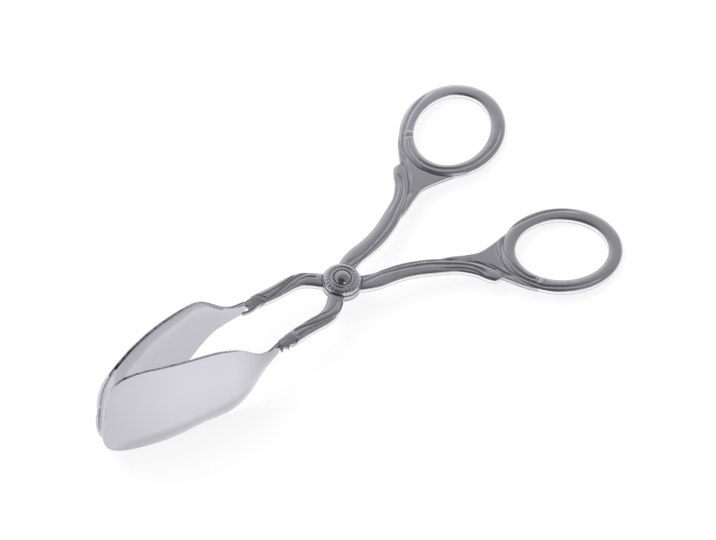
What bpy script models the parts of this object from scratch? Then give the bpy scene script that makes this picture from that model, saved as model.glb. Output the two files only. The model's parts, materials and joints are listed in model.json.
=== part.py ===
"""Scissor serving tongs: two cast levers that cross at a screw, each with a finger ring
at one end and a polished scoop blade brazed into a fork at the other.

Metres, +Z up. Every piece is modelled in the plane of the levers, with the pivot axis on Z
and the crown of the arms at Z = 0: +X runs to the finger rings, -X to the blades. The
lower lever has its ring at +Y and its blade at -Y, and the upper lever is its mirror image.
The whole is then laid on a table, where it stands on both rings and on both blades.
"""
import math

import bmesh
import bpy
import numpy as np

# Clearances
SEAT_GAP = 0.00025            # between faces that touch on the real tongs
BORE_GAP = 0.0003             # all round the pivot screw
TURN_GAP = 0.0004             # between the bosses and the levers' shoulders

# Castings
CASTING_THICKNESS = 0.0025
CROWN_HEIGHT = 0.0013         # rise of the rounded top above the side walls
EDGE_BREAK = 0.0003           # bottom edges
ARM_REACH = 0.0340            # pivot to the end of the front arm's fork, along X
ARM_SPREAD = 0.0096           # middle of the fork, off the centre line
ARM_WIDTH_FORK = 0.0046
ARM_WIDTH_BEND = 0.0052
LEVER_WIDTH_BOSS = 0.0060
SHANK_REACH = 0.0446          # pivot to the middle of the scroll's end, along X
SHANK_RISE = 0.0262
SHANK_WIDTH_WAIST = 0.0047    # where the web branches off
SHANK_WIDTH_SCROLL = 0.0050
STATION_PITCH = 0.0022        # along a bar, between its cross-sections

# Finger ring: two unlike ellipses, the opening and the outside
RING_OFFSET_X = 0.0256        # from the scroll's end to the middle of the ring
RING_OFFSET_Y = 0.0042
RING_HOLE_LONG = 0.0160       # half axes
RING_HOLE_SHORT = 0.0125
RING_HOLE_TURN = 25.3         # degrees from +X
RING_BAR_WIDTH = 0.0049
RING_BAR_TURN = 21.5
RING_STATIONS = 52

# Web between shank and ring
WEB_THICKNESS = 0.0015        # lower than the bars on both sides of it
WEB_NOTCH = 0.0018            # outer edge of the web beyond the scroll
WEB_ROOT = 0.0290             # where the web leaves the shank, along X
WEB_LOW_END = 245.0           # where the web's edges run into the ring, degrees from +X
WEB_HIGH_END = 141.0

# Crossing
UPPER_BOSS_RADIUS = 0.0064
UPPER_BOSS_THICKNESS = 0.00075
LOWER_BOSS_RADIUS = 0.0068
LOWER_BOSS_THICKNESS = 0.00090
SEAT_DEPTH = 0.0012           # the rosette's seat lies below the crown of the arms
SEAT_RING_GAP = 0.0007        # between the rosette and the shoulders of that seat
ROUND_SIDES = 36

# Pivot screw, rosette, washer and nut
SCREW_RADIUS = 0.0015
HEAD_RADIUS = 0.0028
HEAD_HEIGHT = 0.0017
ROSETTE_RADIUS = 0.00625
ROSETTE_RIM = 0.0014
ROSETTE_CROWN_RADIUS = 0.0046
ROSETTE_HEIGHT = 0.0021
ROSETTE_GROOVE = 0.0004
ROSETTE_WELL_DEPTH = 0.0009
BACK_WASHER_RADIUS = 0.0036
BACK_WASHER_THICKNESS = 0.0005
NUT_WIDTH = 0.0055            # across flats
NUT_HEIGHT = 0.0024
SCREW_END = 0.0004            # thread that shows past the nut

# Scoop blades
BLADE_LENGTH = 0.0640         # from the fork's end to the tip
BLADE_HEIGHT = 0.0424
BLADE_DROP = 0.0012           # its mid-height below the arms'
BLADE_SHEET = 0.0012
BLADE_TIP_GAP = 0.0028        # between the two blades' tips as they lie
BLADE_BULGE = 0.0045          # depth of the scoop
TANG_LENGTH = 0.0032          # inside the fork
TANG_HEIGHT = 0.0036
BLADE_ROWS = 10
COLUMN_PITCH = 0.035          # along the blade, as a share of its length
TIP_START = 0.79              # share of the length where the blunt tip begins to round off
TIP_SQUARENESS = 2.4
DROP_ALONG = ((0.0, 0.07, 0.8, 1.0), (0.0, 1.0, 1.0, 1.8))    # shares of length and drop


def scene_collections():
    """Empty the file and make one collection for the tongs and one for cutters and guides."""
    for old in list(bpy.data.objects):
        bpy.data.objects.remove(old, do_unlink=True)
    made = []
    for name in ("serving_tongs", "cutters"):
        group = bpy.data.collections.new(name)
        bpy.context.scene.collection.children.link(group)
        made.append(group)
    return made


def finish_material(name, colour, roughness):
    """A metal of the given colour and roughness."""
    metal = bpy.data.materials.new(name)
    metal.use_nodes = True
    shader = metal.node_tree.nodes["Principled BSDF"]
    shader.inputs["Base Color"].default_value = (*colour, 1.0)
    shader.inputs["Metallic"].default_value = 1.0
    shader.inputs["Roughness"].default_value = roughness
    return metal


PARTS, CUTTERS = scene_collections()
SATIN = finish_material("satin_casting", (0.42, 0.42, 0.45), 0.32)
MIRROR = finish_material("mirror_polish", (0.80, 0.80, 0.83), 0.12)
STEEL = finish_material("plain_steel", (0.55, 0.55, 0.57), 0.35)


def add_mesh(name, mesh, group):
    piece = bpy.data.objects.new(name, mesh)
    group.objects.link(piece)
    return piece


def grid_mesh(name, rows, closed_along=False, closed_across=False, capped=False):
    """A mesh of quads over a grid of points, rows x columns x 3, welded and turned outwards."""
    points = np.asarray(rows)
    count, width = points.shape[:2]
    mesh = bmesh.new()
    verts = [mesh.verts.new(p) for p in points.reshape(-1, 3)]
    for i in range(count if closed_along else count - 1):
        for j in range(width if closed_across else width - 1):
            a, b = i * width, ((i + 1) % count) * width
            k = (j + 1) % width
            mesh.faces.new((verts[a + j], verts[a + k], verts[b + k], verts[b + j]))
    if capped:
        mesh.faces.new(verts[:width])
        mesh.faces.new(verts[-width:][::-1])
    bmesh.ops.recalc_face_normals(mesh, faces=mesh.faces)
    data = bpy.data.meshes.new(name)
    mesh.to_mesh(data)
    mesh.free()
    data.shade_smooth()
    data.set_sharp_from_angle(angle=math.radians(35))
    return data


def smooth_path(points, pitch):
    """Catmull-Rom curve through rows of numbers, sampled about every pitch along it."""
    knots = np.asarray(points, float)
    ends = np.vstack([2 * knots[0] - knots[1], knots, 2 * knots[-1] - knots[-2]])
    out = []
    for k in range(len(knots) - 1):
        p0, p1, p2, p3 = ends[k:k + 4]
        steps = max(1, round(float(np.linalg.norm((p2 - p1)[:2])) / pitch))
        t = (np.arange(steps) / steps)[:, None]
        out.append(0.5 * (2 * p1 + (p2 - p0) * t + (2 * p0 - 5 * p1 + 4 * p2 - p3) * t ** 2
                          + (3 * p1 - p0 - 3 * p2 + p3) * t ** 3))
    return np.vstack([*out, knots[-1:]])


def sideways(path):
    """Unit vectors to the left of a plan path at each of its points."""
    along = np.gradient(path[:, :2], axis=0)
    along /= np.linalg.norm(along, axis=1)[:, None]
    return np.column_stack([-along[:, 1], along[:, 0]])


def bar_rows(left, right):
    """Cross-sections of a cast bar between two plan edges: flat underneath, upright sides
    and a rounded crown."""
    across = np.sin(np.linspace(-1.0, 1.0, 9) * math.pi / 2)
    crown = -CROWN_HEIGHT * across ** 2
    middle, half = (left + right) / 2, (left - right) / 2
    reach = np.linalg.norm(half, axis=1)[:, None]
    inset = 1.0 - EDGE_BREAK / reach[:, 0]
    rows = []
    for m, h, k in zip(middle, half, inset):
        top = [(*(m + h * c), z) for c, z in zip(across, crown)]
        walls = [(*(m + h * c), z) for c, z in ((1.0, EDGE_BREAK - CASTING_THICKNESS),
                                               (k, -CASTING_THICKNESS), (-k, -CASTING_THICKNESS),
                                               (-1.0, EDGE_BREAK - CASTING_THICKNESS))]
        rows.append(top + walls)
    return rows


def lever_path():
    """Plan centre line and width of the lower lever, from the fork over the pivot to the
    scroll: shares of the reach and the spread on the blade side, then on the ring side."""
    arm = ((1.00, 1.00), (0.85, 0.98), (0.70, 0.94), (0.56, 0.925), (0.44, 0.90),
           (0.34, 0.81), (0.25, 0.63), (0.147, 0.375))
    shank = ((0.112, 0.150), (0.224, 0.227), (0.336, 0.257), (0.448, 0.300), (0.560, 0.371),
             (0.673, 0.466), (0.751, 0.546), (0.832, 0.645), (0.924, 0.802), (0.973, 0.939),
             (1.00, 1.00))
    arm_width = np.interp([-p[0] for p in arm], [-1.0, -0.44, -0.15],
                          [ARM_WIDTH_FORK, ARM_WIDTH_BEND, LEVER_WIDTH_BOSS])
    shank_width = np.interp([p[0] for p in shank], [0.2, 0.67, 0.83, 0.97],
                            [LEVER_WIDTH_BOSS, LEVER_WIDTH_BOSS, SHANK_WIDTH_WAIST,
                             SHANK_WIDTH_SCROLL])
    points = [(-ARM_REACH * x, -ARM_SPREAD * y, w) for (x, y), w in zip(arm, arm_width)]
    points.append((0.0, 0.0, LEVER_WIDTH_BOSS))
    points += [(SHANK_REACH * x, SHANK_RISE * y, w) for (x, y), w in zip(shank, shank_width)]
    return smooth_path(points, STATION_PITCH)


def round_tip(path):
    """Add stations that round off the last end of a path of x, y and width."""
    end, before = path[-1], path[-2]
    ahead = (end - before)[:2] / np.linalg.norm((end - before)[:2])
    turns = np.radians([18, 36, 54, 68, 80])
    tip = [(*(end[:2] + ahead * end[2] / 2 * math.sin(t)), end[2] * math.cos(t)) for t in turns]
    return np.vstack([path, tip])


def lever_edges(path):
    side = sideways(path) * path[:, 2:] / 2
    return path[:, :2] + side, path[:, :2] - side


def scroll_end():
    return np.array([SHANK_REACH, SHANK_RISE])


def ring_centre():
    return scroll_end() + (RING_OFFSET_X, RING_OFFSET_Y)


def ellipse_points(long_half, short_half, turn, angles):
    """Points of an ellipse about the ring's centre, at the given directions seen from it."""
    tilt = math.radians(turn)
    local = angles - tilt
    reach = 1.0 / np.sqrt((np.cos(local) / long_half) ** 2 + (np.sin(local) / short_half) ** 2)
    return ring_centre() + np.column_stack([np.cos(angles), np.sin(angles)]) * reach[:, None]


def ring_outside(angles):
    return ellipse_points(RING_HOLE_LONG + RING_BAR_WIDTH, RING_HOLE_SHORT + RING_BAR_WIDTH,
                          RING_BAR_TURN, angles)


def ring_hole(angles):
    return ellipse_points(RING_HOLE_LONG, RING_HOLE_SHORT, RING_HOLE_TURN, angles)


def web_outline(path):
    """Plan outline of the web: out of the shank's inner edge, along a hollow edge to the
    ring, round inside the ring's bar, and back to the notch beside the scroll."""
    right = lever_edges(path)[1]
    middle = path[:, :2]
    root = int(np.argmin(abs(right[:, 0] - WEB_ROOT)))
    start = (middle[root] + 2 * right[root]) / 3
    inside = np.radians(np.linspace(WEB_LOW_END, WEB_HIGH_END, 10))
    bar = (ring_outside(inside) + ring_hole(inside)) / 2
    low, high = (ring_outside(inside)[[0, -1]] * 2 + bar[[0, -1]]) / 3
    scroll = scroll_end()
    notch = scroll + np.array([WEB_NOTCH, SHANK_WIDTH_SCROLL / 2])
    knees = np.array([(0.807, 0.447), (0.942, 0.553), (1.076, 0.607)]) * scroll_end()
    hollow = smooth_path([start, *knees, low], STATION_PITCH * 2)
    brow = np.array([(1.121, 1.328), (1.179, 1.466)]) * scroll_end()
    outer = smooth_path([high, *brow[::-1], notch], STATION_PITCH * 2)
    return np.vstack([middle[root][None], hollow, bar, outer, scroll[None]])


def flat_plate(name, outline, top, bottom, group):
    """A plate with a plan outline, from a filled 2D curve."""
    curve = bpy.data.curves.new(name, "CURVE")
    curve.dimensions = "2D"
    curve.fill_mode = "BOTH"
    curve.extrude = (top - bottom) / 2
    spline = curve.splines.new("POLY")
    spline.points.add(len(outline) - 1)
    for point, (x, y) in zip(spline.points, outline):
        point.co = (x, y, 0.0, 1.0)
    spline.use_cyclic_u = True
    guide = bpy.data.objects.new(name + "_curve", curve)
    guide.location.z = (top + bottom) / 2
    group.objects.link(guide)
    bpy.context.view_layer.update()
    graph = bpy.context.evaluated_depsgraph_get()
    mesh = bpy.data.meshes.new_from_object(guide.evaluated_get(graph))
    mesh.transform(guide.matrix_world)
    welded = bmesh.new()
    welded.from_mesh(mesh)
    bmesh.ops.remove_doubles(welded, verts=welded.verts, dist=1e-6)
    bmesh.ops.recalc_face_normals(welded, faces=welded.faces)
    welded.to_mesh(mesh)
    welded.free()
    bpy.data.objects.remove(guide)
    return add_mesh(name, mesh, group)


def round_solid(name, radius, top, bottom, group, centre=(0.0, 0.0), sides=ROUND_SIDES):
    """A plain upright cylinder."""
    mesh = bmesh.new()
    bmesh.ops.create_cone(mesh, cap_ends=True, segments=sides, radius1=radius, radius2=radius,
                          depth=top - bottom)
    bmesh.ops.translate(mesh, verts=mesh.verts, vec=(*centre, (top + bottom) / 2))
    data = bpy.data.meshes.new(name)
    mesh.to_mesh(data)
    mesh.free()
    return add_mesh(name, data, group)


def turned(name, profile, material, sides=ROUND_SIDES):
    """A solid turned about the pivot axis from a profile of radius and height, which runs
    down the outside and comes back up the bore."""
    mesh = bpy.data.meshes.new(name)
    points = [(radius, 0.0, height) for radius, height in profile]
    links = [(i, i + 1) for i in range(len(points) - 1)]
    if profile[0][0] > 0 and profile[-1][0] > 0:
        links.append((len(points) - 1, 0))
    mesh.from_pydata(points, links, [])
    piece = add_mesh(name, mesh, PARTS)
    screw = piece.modifiers.new("turn", "SCREW")
    screw.steps = screw.render_steps = sides
    screw.use_merge_vertices = True
    screw.merge_threshold = 0.00001
    dress(piece, material)
    return piece


def combine(piece, tool, operation):
    """Join a tool to a piece, or cut the piece with it. The tool stays as a guide that
    moves with the piece."""
    tool.parent = piece
    tool.hide_render = True
    tool.display_type = "WIRE"
    step = piece.modifiers.new(tool.name, "BOOLEAN")
    step.operation = operation
    step.object = tool
    step.solver = "EXACT"


def dress(piece, material):
    piece.data.materials.clear()
    piece.data.materials.append(material)


def stack_heights():
    """Heights of the faces at the crossing, from the rosette's seat down: top and bottom of
    the upper boss, then of the lower boss."""
    high_top = -SEAT_DEPTH
    high_bottom = high_top - UPPER_BOSS_THICKNESS
    low_top = high_bottom - SEAT_GAP
    return high_top, high_bottom, low_top, low_top - LOWER_BOSS_THICKNESS


def fork_cutter(name, side):
    """A slot with a round end, which opens at the fork's end and runs right through it."""
    half = BLADE_SHEET / 2 + BORE_GAP
    depth = TANG_LENGTH + BORE_GAP
    turns = np.linspace(-math.pi / 2, math.pi / 2, 9)
    round_end = np.column_stack([depth - half + half * np.cos(turns), half * np.sin(turns)])
    mouth = np.array([(-half * 2, half), (-half * 2, -half)])
    outline = np.vstack([round_end, mouth]) + (-ARM_REACH, -ARM_SPREAD * side)
    return flat_plate(name, outline, CASTING_THICKNESS, -2 * CASTING_THICKNESS, CUTTERS)


def lever(name, side):
    """One casting. Side 1 is the lower lever, with its ring at +Y, and side -1 the upper
    lever, its mirror image, with its boss on top of the other."""
    flip = np.array([1.0, side])
    left, right = lever_edges(round_tip(lever_path()))
    body = add_mesh(name, grid_mesh(name, bar_rows(left * flip, right * flip), capped=True,
                                    closed_across=True), PARTS)
    dress(body, SATIN)

    angles = np.linspace(0, 2 * math.pi, RING_STATIONS, endpoint=False)
    ring_rows = bar_rows(ring_outside(angles) * flip, ring_hole(angles) * flip)
    ring = add_mesh(name + "_ring", grid_mesh(name + "_ring", ring_rows, closed_along=True,
                                              closed_across=True), CUTTERS)
    web_bottom = EDGE_BREAK / 2 - CASTING_THICKNESS
    web = flat_plate(name + "_web", web_outline(lever_path()) * flip,
                     web_bottom + WEB_THICKNESS, web_bottom, CUTTERS)

    high_top, high_bottom, low_top, low_bottom = stack_heights()
    spare = 2 * CASTING_THICKNESS
    shoulder = max(UPPER_BOSS_RADIUS, LOWER_BOSS_RADIUS) + TURN_GAP
    if side > 0:
        boss = round_solid(name + "_boss", LOWER_BOSS_RADIUS, low_top + EDGE_BREAK, low_bottom,
                           CUTTERS)
        well = round_solid(name + "_well", shoulder, spare, low_top, CUTTERS)
    else:
        boss = round_solid(name + "_boss", UPPER_BOSS_RADIUS, high_top + EDGE_BREAK,
                           high_bottom - EDGE_BREAK, CUTTERS)
        well = round_solid(name + "_well", shoulder, high_bottom, -spare, CUTTERS)
    combine(body, ring, "UNION")
    combine(body, web, "UNION")
    combine(body, boss, "UNION")
    if side < 0:
        seat = round_solid(name + "_seat", ROSETTE_RADIUS + SEAT_RING_GAP, spare, high_top,
                           CUTTERS)
        combine(body, seat, "DIFFERENCE")
    combine(body, well, "DIFFERENCE")
    bore = round_solid(name + "_bore", SCREW_RADIUS + BORE_GAP, spare, -spare, CUTTERS)
    combine(body, bore, "DIFFERENCE")
    combine(body, fork_cutter(name + "_fork", side), "DIFFERENCE")
    return body


def blade_outline():
    """Columns of a blade from the tang to the tip, as place along it, half height, plan
    distance of the rim from the centre line, depth of the scoop, and mid-height."""
    rise = smooth_path([(0.00, 0.145), (0.08, 0.195), (0.15, 0.34), (0.22, 0.57), (0.29, 0.75),
                        (0.38, 0.855), (0.50, 0.925), (0.65, 0.975), (TIP_START, 1.0)],
                       COLUMN_PITCH)
    turns = np.radians(np.linspace(0, 80, 8))[1:]
    power = 2 / TIP_SQUARENESS
    tip = np.column_stack([TIP_START + (1 - TIP_START) * np.sin(turns) ** power,
                           np.cos(turns) ** power])
    share, height = np.vstack([rise, tip]).T
    plan = smooth_path([(0.0, 1.0), (0.1, 1.195), (0.2, 1.293), (0.3, 1.232), (0.44, 1.061),
                        (0.6, 0.829), (0.74, 0.561), (0.85, 0.28), (0.94, 0.043), (1.0, 0.0)],
                       COLUMN_PITCH)
    depth = smooth_path([(0.0, 0.0), (0.1, 0.25), (0.25, 0.85), (0.4, 1.0), (0.7, 0.8),
                         (0.9, 0.35), (1.0, 0.15)], COLUMN_PITCH)
    spread = np.interp(share, *plan.T)
    bulge = np.interp(share, *depth.T)
    tip_half = BLADE_TIP_GAP / 2 + BLADE_SHEET / 2
    middle = -CASTING_THICKNESS / 2
    tang = np.array([(-TANG_LENGTH, TANG_HEIGHT / 2, ARM_SPREAD, 0.0, middle),
                     (-BORE_GAP, TANG_HEIGHT / 2, ARM_SPREAD, 0.0, middle)])
    leaf = np.column_stack([share * BLADE_LENGTH, height * BLADE_HEIGHT / 2,
                            tip_half + (ARM_SPREAD - tip_half) * spread,
                            bulge * BLADE_BULGE,
                            middle - BLADE_DROP * np.interp(share, *DROP_ALONG)])
    return np.vstack([tang, leaf])


def blade(name, side):
    """A scoop pressed from sheet. Side -1 lies at -Y, on the lower lever."""
    across = np.sin(np.linspace(-1.0, 1.0, BLADE_ROWS + 1) * math.pi / 2)
    rows = []
    for along, half, rim, bulge, middle in blade_outline():
        rows.append([(-ARM_REACH - along, side * (rim + bulge * (1 - v * v)), middle + half * v)
                     for v in across])
    piece = add_mesh(name, grid_mesh(name, rows), PARTS)
    sheet = piece.modifiers.new("sheet", "SOLIDIFY")
    sheet.thickness = BLADE_SHEET
    sheet.offset = 0.0
    sheet.use_even_offset = True
    dress(piece, MIRROR)
    return piece


def pivot_pieces():
    """Rosette, screw, washer and nut, all on the pivot axis."""
    high_top, _, _, low_bottom = stack_heights()
    bore = SCREW_RADIUS + BORE_GAP
    foot = high_top + SEAT_GAP
    crown = foot + ROSETTE_HEIGHT
    well = crown - ROSETTE_WELL_DEPTH
    rosette = turned("rosette", rosette_profile(bore, foot, crown, well), SATIN)
    washer_under = low_bottom - SEAT_GAP
    back_bottom = washer_under - BACK_WASHER_THICKNESS
    back = turned("back_washer", [(BACK_WASHER_RADIUS, washer_under),
                                  (BACK_WASHER_RADIUS, back_bottom),
                                  (bore, back_bottom), (bore, washer_under)], STEEL)
    nut_top = back_bottom - SEAT_GAP
    nut_bottom = nut_top - NUT_HEIGHT
    nut = round_solid("pivot_nut", NUT_WIDTH / 2 / math.cos(math.pi / 6), nut_top, nut_bottom,
                      PARTS, sides=6)
    hole = round_solid("pivot_nut_bore", bore, 0.0, nut_bottom - CASTING_THICKNESS, CUTTERS)
    combine(nut, hole, "DIFFERENCE")
    dress(nut, STEEL)
    screw = turned("pivot_screw", screw_profile(well + SEAT_GAP, nut_bottom - SCREW_END), SATIN)
    return [rosette, back, nut, screw]


def rosette_profile(bore, foot, crown, well):
    """Rim, convex flank, turned groove, inner ring and the well that holds the head."""
    head = HEAD_RADIUS + BORE_GAP
    ring_out = (head + ROSETTE_CROWN_RADIUS) / 2
    rim_top = foot + ROSETTE_RIM
    turns = np.radians(np.linspace(0, 90, 7))
    flank = [(ROSETTE_CROWN_RADIUS + (ROSETTE_RADIUS - ROSETTE_CROWN_RADIUS) * math.sin(t),
              rim_top + (crown - rim_top) * math.cos(t)) for t in turns]
    inner = [(head, well), (head, crown - ROSETTE_GROOVE / 2), (head + ROSETTE_GROOVE, crown),
             (ring_out, crown), (ring_out + ROSETTE_GROOVE, crown - ROSETTE_GROOVE)]
    return [(bore, well), *inner, *flank, (ROSETTE_RADIUS, foot), (bore, foot)]


def screw_profile(seat, end):
    """Domed head, shank and plain end, from the top of the dome down."""
    turns = np.radians(np.linspace(0, 90, 9))
    dome = [(HEAD_RADIUS * math.sin(t), seat + HEAD_HEIGHT * math.cos(t)) for t in turns]
    chamfer = EDGE_BREAK
    return [*dome, (SCREW_RADIUS, seat), (SCREW_RADIUS, end + chamfer),
            (SCREW_RADIUS - chamfer, end), (0.0, end)]


def world_points(pieces):
    """World corners of the evaluated meshes of the pieces."""
    bpy.context.view_layer.update()
    graph = bpy.context.evaluated_depsgraph_get()
    found = []
    for piece in pieces:
        solid = piece.evaluated_get(graph)
        mesh = solid.to_mesh()
        found += [tuple(solid.matrix_world @ v.co) for v in mesh.vertices]
        solid.to_mesh_clear()
    return np.array(found)


def table_tilt(levers, blades):
    """Angle about Y at which the rings and the blades reach equally low."""
    ring_end, blade_end = world_points(levers), world_points(blades)

    def lowest(points, tilt):
        return float(np.min(points[:, 2] * math.cos(tilt) - points[:, 0] * math.sin(tilt)))

    low, high = 0.0, math.radians(30)
    for _ in range(50):
        tilt = (low + high) / 2
        if lowest(ring_end, tilt) > lowest(blade_end, tilt):
            low = tilt
        else:
            high = tilt
    return tilt


def empty(name, parent=None):
    guide = bpy.data.objects.new(name, None)
    PARTS.objects.link(guide)
    guide.parent = parent
    return guide


def main():
    lower = [lever("lower_lever", 1.0), blade("front_blade", -1.0), *pivot_pieces()]
    upper = [lever("upper_lever", -1.0), blade("rear_blade", 1.0)]
    tilt = table_tilt([lower[0], upper[0]], [lower[1], upper[1]])

    frame = empty("tongs_frame")
    hinge = empty("pivot_axis", frame)
    for piece in lower:
        piece.parent = frame
    for piece in upper:
        piece.parent = hinge
    frame.rotation_euler = (0.0, tilt, 0.0)
    points = world_points(lower + upper)
    middle = (points.min(0) + points.max(0)) / 2
    frame.location = (-middle[0], -middle[1], -points[:, 2].min())
    bpy.context.view_layer.update()


main()
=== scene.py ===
"""Scissor serving tongs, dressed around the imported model.

Two mirrored castings cross at a screw. Each has a finger ring at one end and a fork at the
other, and a polished scoop is brazed into the fork. Metres, +Z up, on a table at Z = 0.
"""
import json
import math

import bmesh
import bpy
import numpy as np
from mathutils import Matrix


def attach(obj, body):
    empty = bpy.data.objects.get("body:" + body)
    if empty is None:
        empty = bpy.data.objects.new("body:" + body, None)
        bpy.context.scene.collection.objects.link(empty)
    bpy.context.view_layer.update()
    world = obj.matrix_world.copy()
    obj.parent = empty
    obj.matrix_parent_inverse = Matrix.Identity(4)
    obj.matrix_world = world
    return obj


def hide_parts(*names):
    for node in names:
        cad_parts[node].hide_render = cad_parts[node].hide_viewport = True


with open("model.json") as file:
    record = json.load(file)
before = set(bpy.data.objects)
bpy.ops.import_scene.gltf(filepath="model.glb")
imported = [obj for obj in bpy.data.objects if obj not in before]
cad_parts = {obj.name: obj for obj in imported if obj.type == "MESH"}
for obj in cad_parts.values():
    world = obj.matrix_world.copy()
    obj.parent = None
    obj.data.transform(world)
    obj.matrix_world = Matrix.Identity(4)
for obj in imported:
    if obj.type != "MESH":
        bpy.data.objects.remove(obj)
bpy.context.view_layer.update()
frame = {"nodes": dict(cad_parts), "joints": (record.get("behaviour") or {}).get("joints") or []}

# How the tongs lie
# The pieces are drawn flat, in the plane of the levers: pivot axis on Z, crown of the arms
# at Z = 0, rings towards +X. They lie tilted, because the scoops are taller than the rings.

MM = 0.001
hinge = frame["joints"][0]
pivot_point = np.array(hinge["pos_m"])
plane_normal = -np.array(hinge["axis"])
lying = np.array([[plane_normal[2], 0.0, -plane_normal[0]], [0.0, 1.0, 0.0], plane_normal])


def laid(points):
    """Points of the flat drawing, in metres, brought to where they lie on the table: the
    drawing's axes turned by the tilt, and its origin moved to the pivot."""
    return np.asarray(points) @ lying + pivot_point


# The two levers
# Each is one satin-polished casting: ringed handle, flat web, ribbed shank with a scrolled
# end, half-thickness boss, and a front arm with a twisted leaf that ends in a forked clasp.
# They are drawn as the lower one lies, ring at +Y, and the upper one is its mirror image.

CASTING_DEEP = 2.5 * MM         # flat back, below the crown
CROWN_FALL = 1.0 * MM           # from the crown down to the top of the side walls
WALL_MIDDLE = -1.7 * MM         # a row of points halfway down the side walls
EDGE_ROUND = 0.3 * MM
CLASP_START = -26 * MM          # from here to the fork the top is filed lower
CLASP_FALL = 0.25 * MM

# Middle line of the bar from the clasp to the scroll, and its width there
bar_drawing = MM * np.array([
    (-33.45, -9.60, 4.6), (-28.35, -9.41, 4.77), (-23.25, -9.02, 4.93), (-18.49, -8.88, 5.08),
    (-14.15, -8.85, 5.2), (-10.79, -8.00, 5.4), (-7.93, -6.24, 5.45), (-4.95, -3.67, 5.65),
    (0.0, 0.0, 6.0),
    (5.0, 3.93, 6.0), (9.99, 5.95, 6.0), (14.99, 6.73, 6.0), (19.98, 7.86, 6.0),
    (24.98, 9.72, 6.0), (30.02, 12.21, 6.0), (33.49, 14.31, 5.4), (37.11, 16.90, 4.7),
    (41.21, 21.01, 4.9), (43.4, 24.60, 5.0), (44.6, 26.2, 5.0)])


def fair_line(knots, pitch):
    """Rows of numbers along a Catmull-Rom curve through the knots, about one pitch apart: each
    span is the cubic whose slope at a knot is half the chord between that knot's neighbours."""
    knots = np.asarray(knots, float)
    ends = np.vstack([2 * knots[0] - knots[1], knots, 2 * knots[-1] - knots[-2]])
    spans = []
    for p0, p1, p2, p3 in zip(ends, ends[1:], ends[2:], ends[3:]):
        steps = max(1, round(float(np.linalg.norm((p2 - p1)[:2])) / pitch))
        t = (np.arange(steps) / steps)[:, None]
        spans.append(0.5 * (2 * p1 + (p2 - p0) * t + (2 * p0 - 5 * p1 + 4 * p2 - p3) * t ** 2
                            + (3 * p1 - p0 - 3 * p2 + p3) * t ** 3))
    return np.vstack([*spans, knots[-1:]])


def skin(name, rows, around=False, along=False, capped=False):
    """Mesh of quads over a grid of points, rows x columns x 3. It closes across the columns
    if around, from the last row to the first if along, and with flat ends if capped."""
    rows = np.asarray(rows)
    count, width = rows.shape[:2]
    corner = np.arange(count * width).reshape(count, width)
    a = corner if along else corner[:-1]
    b = np.roll(corner, -1, 0) if along else corner[1:]
    if around:
        quads = np.stack([a, np.roll(a, -1, 1), np.roll(b, -1, 1), b], -1)
    else:
        quads = np.stack([a[:, :-1], a[:, 1:], b[:, 1:], b[:, :-1]], -1)
    faces = quads.reshape(-1, 4).tolist()
    if capped:
        faces += [corner[0].tolist(), corner[-1][::-1].tolist()]
    mesh = bpy.data.meshes.new(name)
    mesh.from_pydata(rows.reshape(-1, 3), [], faces)
    weld(mesh)
    return mesh


def weld(mesh, distance=0.002 * MM):
    """Merge points closer than a distance and turn all faces outwards."""
    work = bmesh.new()
    work.from_mesh(mesh)
    bmesh.ops.remove_doubles(work, verts=work.verts, dist=distance)
    bmesh.ops.recalc_face_normals(work, faces=work.faces)
    work.to_mesh(mesh)
    work.free()


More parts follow.
